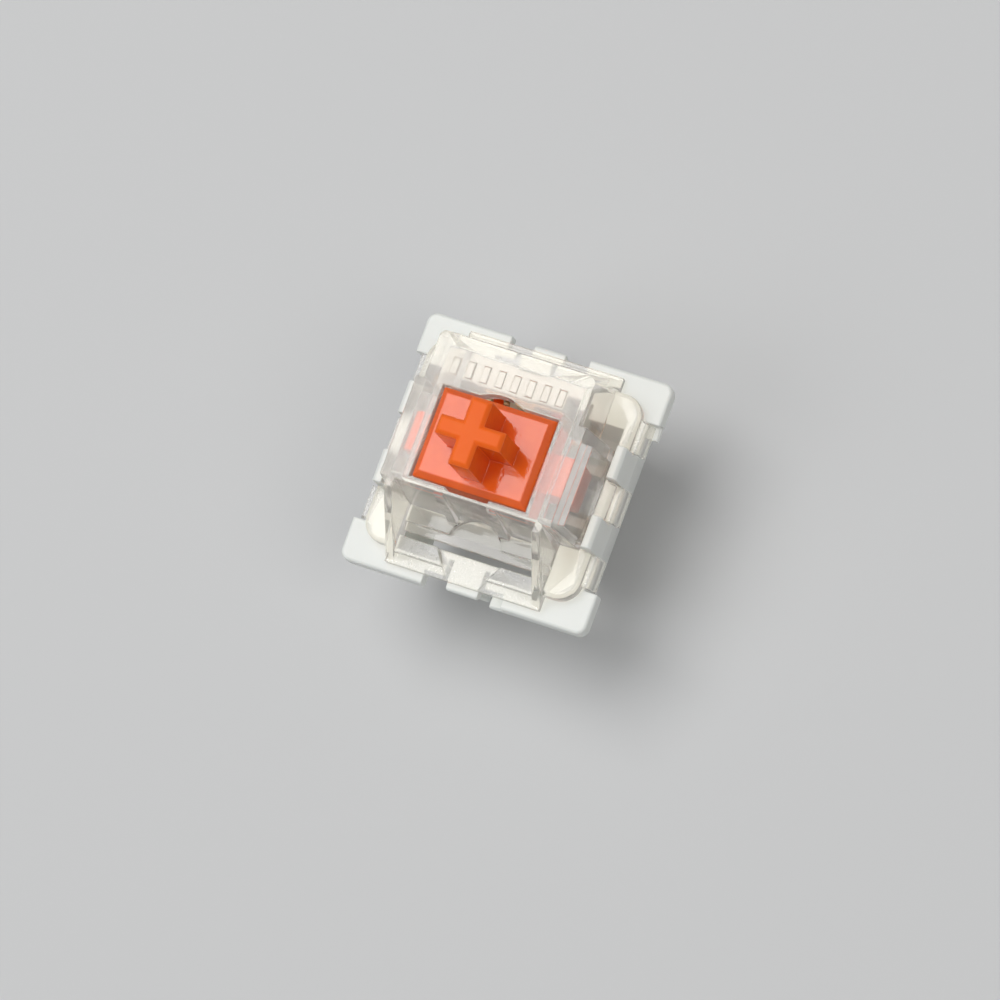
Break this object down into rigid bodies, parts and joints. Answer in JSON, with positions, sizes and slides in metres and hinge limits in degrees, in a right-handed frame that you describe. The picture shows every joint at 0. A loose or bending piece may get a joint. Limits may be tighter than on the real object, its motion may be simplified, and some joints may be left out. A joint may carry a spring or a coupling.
{
  "type": "keyboard switch",
  "caption": "Plate-mounted mechanical key switch with a clear upper housing, a sliding stem with a cross for a keycap, and solder pins.",
  "frame": {"origin": "on the axis of the central boss, in the plane of the lower housing's underside, where the switch meets the circuit board", "axes": "+Z towards the keycap, +Y towards the solder pins, -Y towards the lamp slot, +X to the right seen from the lamp slot's side"},
  "size_m": [0.0156, 0.0156, 0.0185],
  "materials": {
    "white_plastic": "satin, opaque",
    "clear_plastic": "clear, frosted on the top face",
    "orange_plastic": "glossy",
    "spring_steel": "bright drawn wire",
    "terminal_copper": "bright stamped sheet",
    "leaf_copper": "bright spring sheet",
    "contact_gold": "polished"
  },
  "bodies": {
    "housing": {"lower_housing": "white_plastic", "upper_housing": "clear_plastic", "fixed_terminal": "terminal_copper", "fixed_contact": "contact_gold", "moving_terminal": "terminal_copper", "return_spring": "spring_steel"},
    "stem": {"stem": "orange_plastic"},
    "leaf": {"contact_leaf": "leaf_copper", "moving_contact": "contact_gold"}
  },
  "joints": [
    {"name": "key_press", "type": "slide", "parent": "housing", "child": "stem", "axis": [0, 0, -1], "range_m": [0, 0.004], "stiffness_N_per_m": 75, "springref_m": -0.004, "deforming": ["return_spring"]},
    {"name": "leaf_flex", "type": "hinge", "parent": "housing", "child": "leaf", "pos_m": [0, 0.00399, 0.00185], "axis": [1, 0, 0], "range_deg": [0, 3.6]}
  ],
  "couplings": [
    {"joint": "leaf_flex", "follows": "key_press", "rad_per_m": 15}
  ]
}
